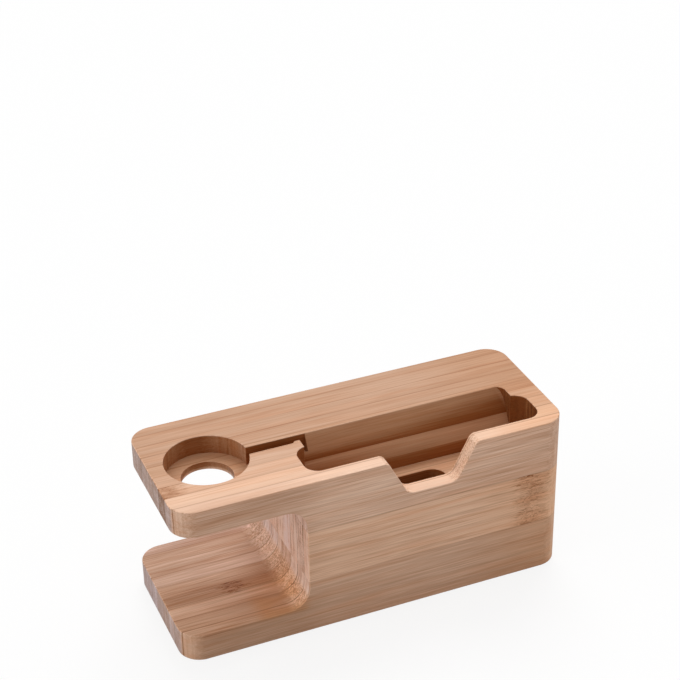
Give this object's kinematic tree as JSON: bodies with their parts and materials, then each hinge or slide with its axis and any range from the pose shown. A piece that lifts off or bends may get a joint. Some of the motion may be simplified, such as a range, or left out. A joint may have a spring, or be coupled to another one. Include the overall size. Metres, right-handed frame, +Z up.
{
  "type": "charging stand",
  "caption": "Bamboo desk stand: a shelf with a round charger seat over a band gap, and a trough with a sloped back and front notch that holds a phone.",
  "frame": {"origin": "middle of the base, on the surface that the stand rests on", "axes": "+X runs along the block from the watch end to the phone end, +Y from the front with the notch to the back, +Z up"},
  "size_m": [0.142, 0.054, 0.061],
  "materials": {
    "bamboo_pale": "fine sanded bamboo, thin satin oil",
    "bamboo_tan": "fine sanded bamboo, thin satin oil",
    "bamboo_brown": "fine sanded bamboo, thin satin oil"
  },
  "bodies": {
    "root": {"front_layer_bottom_strip": "bamboo_pale", "front_layer_middle_strip": "bamboo_tan", "front_layer_top_strip": "bamboo_brown", "second_layer_bottom_strip": "bamboo_brown", "second_layer_middle_strip": "bamboo_pale", "second_layer_top_strip": "bamboo_tan", "third_layer_bottom_strip": "bamboo_tan", "third_layer_middle_strip": "bamboo_brown", "third_layer_top_strip": "bamboo_pale", "fourth_layer_bottom_strip": "bamboo_pale", "fourth_layer_middle_strip": "bamboo_tan", "fourth_layer_top_strip": "bamboo_brown", "middle_layer_bottom_strip": "bamboo_brown", "middle_layer_middle_strip": "bamboo_pale", "middle_layer_top_strip_left": "bamboo_tan", "middle_layer_top_strip_right": "bamboo_tan", "sixth_layer_bottom_strip": "bamboo_tan", "sixth_layer_middle_strip": "bamboo_brown", "sixth_layer_top_strip": "bamboo_pale", "seventh_layer_bottom_strip": "bamboo_pale", "seventh_layer_middle_strip": "bamboo_tan", "seventh_layer_top_strip": "bamboo_brown", "eighth_layer_bottom_strip": "bamboo_brown", "eighth_layer_middle_strip": "bamboo_pale", "eighth_layer_top_strip": "bamboo_tan", "back_layer_bottom_strip": "bamboo_tan", "back_layer_middle_strip": "bamboo_brown", "back_layer_top_strip": "bamboo_pale"}
  },
  "joints": []
}
